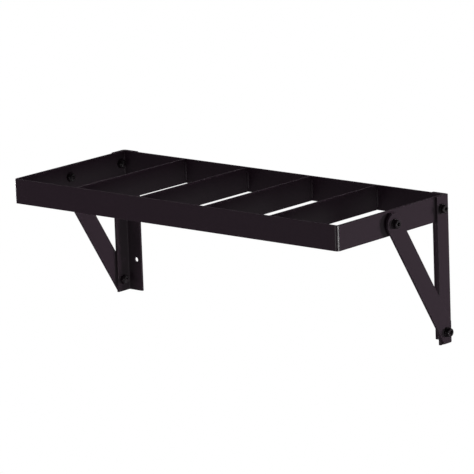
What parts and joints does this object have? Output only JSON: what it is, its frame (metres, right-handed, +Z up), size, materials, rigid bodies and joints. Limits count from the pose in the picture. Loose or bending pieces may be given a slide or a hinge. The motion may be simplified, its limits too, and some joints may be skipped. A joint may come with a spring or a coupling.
{
  "type": "backdrop storage rack",
  "caption": "Wall rack that holds rolls of backdrop paper upright: an open flat-bar band crossed by dividers, bolted between steel wall angles and propped from below by flat braces.",
  "frame": {"origin": "on the wall, midway between the wall angles and level with the middle of the band's height, where the upper screws are", "axes": "+Z up, +Y into the wall, +X to the right of someone who stands in front of the rack and faces the wall"},
  "size_m": [0.5256, 0.2033, 0.177],
  "materials": {
    "powder_coat": "matt black powder coat with a fine texture",
    "blackened_steel": "blackened steel fasteners, satin"
  },
  "bodies": {
    "root": {"rack_band": "powder_coat", "divider_1": "powder_coat", "divider_2": "powder_coat", "divider_3": "powder_coat", "divider_4": "powder_coat", "wall_angle_left": "powder_coat", "wall_angle_right": "powder_coat", "brace_left": "powder_coat", "brace_right": "powder_coat", "spacer_left": "powder_coat", "spacer_right": "powder_coat", "screw_front_left": "blackened_steel", "screw_front_right": "blackened_steel", "screw_rear_left": "blackened_steel", "screw_rear_right": "blackened_steel", "screw_lower_left": "blackened_steel", "screw_lower_right": "blackened_steel", "washer_front_left": "blackened_steel", "washer_front_right": "blackened_steel", "washer_rear_left": "blackened_steel", "washer_rear_right": "blackened_steel", "washer_lower_left": "blackened_steel", "washer_lower_right": "blackened_steel", "nut_front_left": "blackened_steel", "nut_front_right": "blackened_steel", "nut_rear_left": "blackened_steel", "nut_rear_right": "blackened_steel", "nut_lower_left": "blackened_steel", "nut_lower_right": "blackened_steel"}
  },
  "joints": []
}
